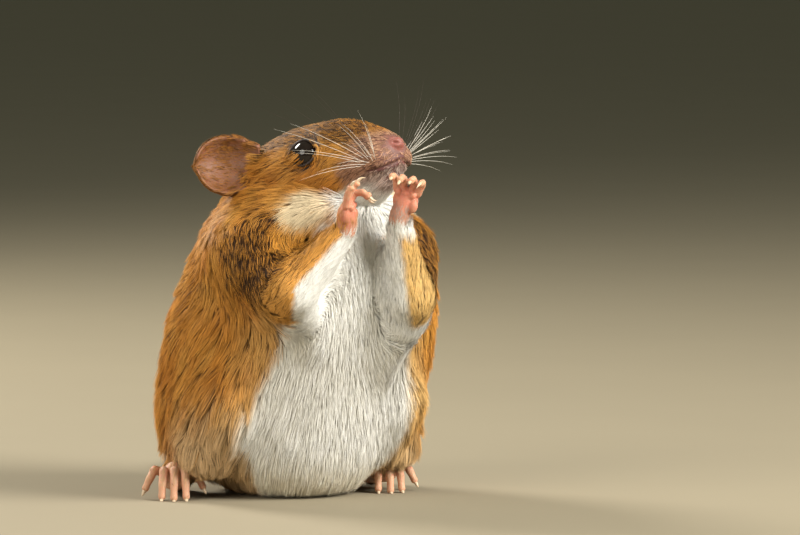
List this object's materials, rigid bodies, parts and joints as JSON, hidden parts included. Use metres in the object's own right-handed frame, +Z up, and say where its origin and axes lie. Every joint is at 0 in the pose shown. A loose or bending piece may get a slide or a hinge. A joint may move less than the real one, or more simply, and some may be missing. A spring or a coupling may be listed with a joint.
{
  "type": "harvest mouse",
  "caption": "Life-size harvest mouse sitting upright on its haunches, head turned to its left, both forepaws raised to its mouth, tail curled on the floor.",
  "frame": {"origin": "centre of the bounding box's base, on the floor that the hind feet, rump and tail rest on", "axes": "+Z up, -Y the way the chest faces, +X the mouse's own left, +Y back along the tail"},
  "size_m": [0.0406, 0.0566, 0.0419],
  "materials": {
    "coat": "soft fur",
    "belly_coat": "soft fur",
    "bare_skin": "soft skin",
    "tail_skin": "fine scales",
    "claw": "horn",
    "eye": "wet"
  },
  "bodies": {
    "root": {"head": "coat", "ear_left": "coat", "ear_right": "coat", "eye_left": "eye", "eye_right": "eye", "neck": "coat", "torso": "coat", "upper_arm_left": "coat", "upper_arm_right": "coat", "forearm_left": "belly_coat", "forearm_right": "belly_coat", "forepaw_left": "bare_skin", "forepaw_right": "bare_skin", "thigh_left": "coat", "thigh_right": "coat", "shank_left": "coat", "shank_right": "coat", "hindfoot_left": "bare_skin", "hindfoot_right": "bare_skin", "tail_base": "tail_skin", "tail_middle": "tail_skin", "tail_tip": "tail_skin", "whiskers_left": "coat", "whiskers_right": "coat"}
  },
  "joints": []
}
